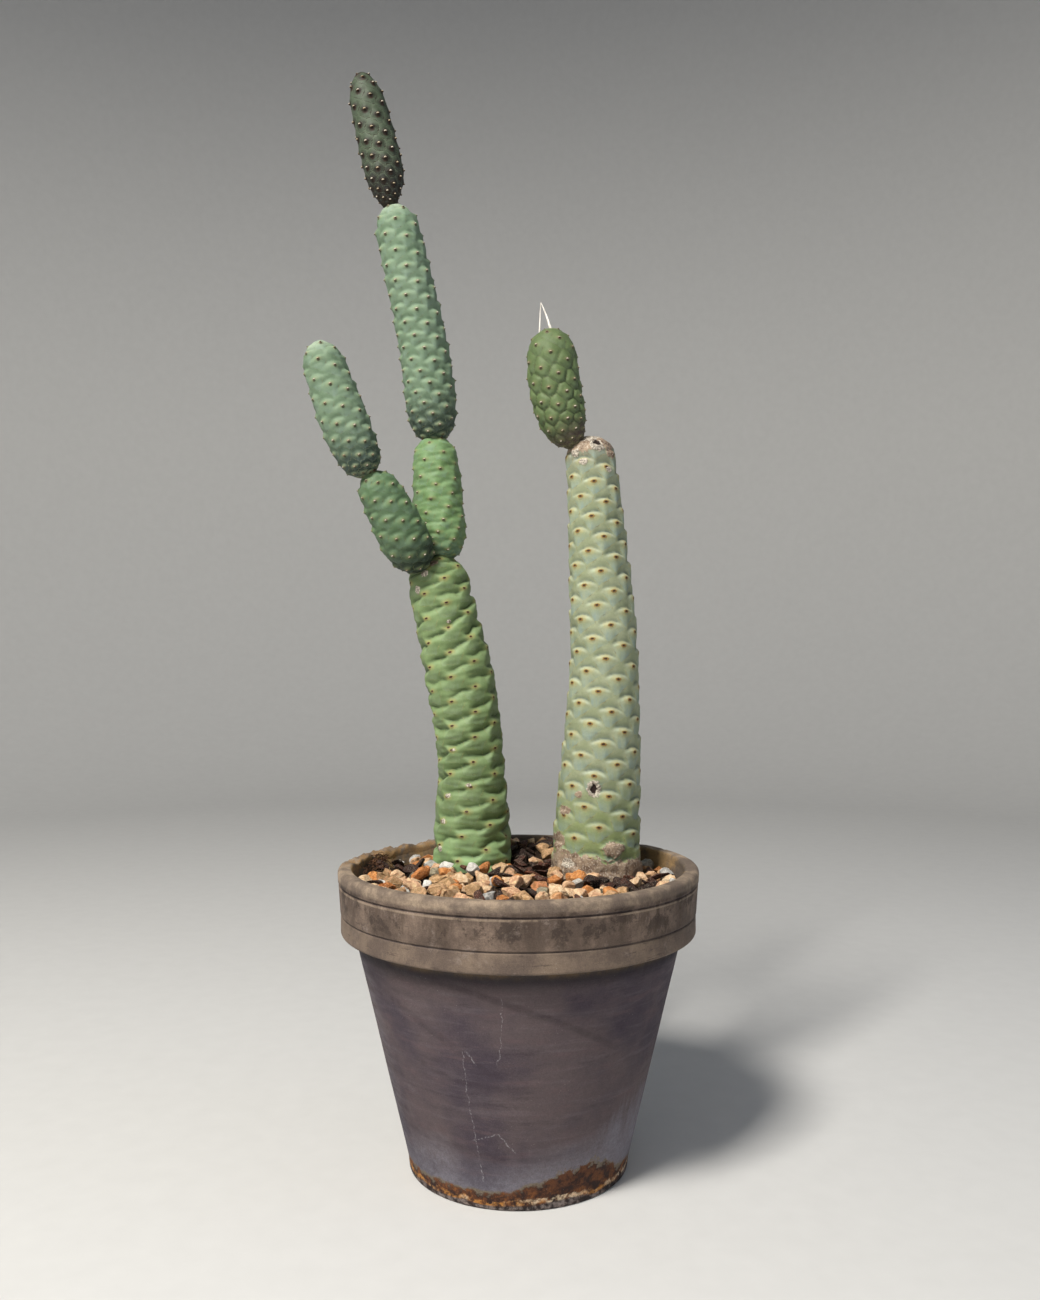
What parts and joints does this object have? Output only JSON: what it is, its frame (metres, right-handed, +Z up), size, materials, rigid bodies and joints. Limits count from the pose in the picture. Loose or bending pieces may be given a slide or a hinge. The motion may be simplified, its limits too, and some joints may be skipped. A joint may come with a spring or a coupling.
{
  "type": "potted tephrocactus strobiliformis",
  "caption": "Jointed, knobbly columnar cacti, one branched and one single, standing in gravel in a weathered clay pot with a banded rim.",
  "frame": {"origin": "the middle of the object's box, on the surface that the pot stands on", "axes": "+Z up along the pot, +X to the right of the picture, +Y to its back"},
  "size_m": [0.234, 0.2106, 0.6554],
  "materials": {
    "clay": "matte",
    "gravel_mix": "matte",
    "skin_old_green": "satin",
    "skin_old_grey": "matte",
    "skin_green": "satin",
    "skin_pale": "matte",
    "skin_dark": "matte",
    "skin_young": "satin",
    "areole": "matte",
    "papery_spine": "matte",
    "cork": "matte",
    "bark": "matte",
    "stone_tan": "matte",
    "stone_grey": "matte",
    "pumice": "matte",
    "soil": "matte"
  },
  "bodies": {
    "root": {"pot": "clay", "potting_mix": "gravel_mix", "trunk_left": "skin_old_green", "trunk_right": "skin_old_grey", "segment_mid_lower": "skin_green", "segment_mid_long": "skin_pale", "segment_top": "skin_dark", "segment_left_lower": "skin_green", "segment_left_upper": "skin_pale", "segment_right_top": "skin_young"}
  },
  "joints": []
}
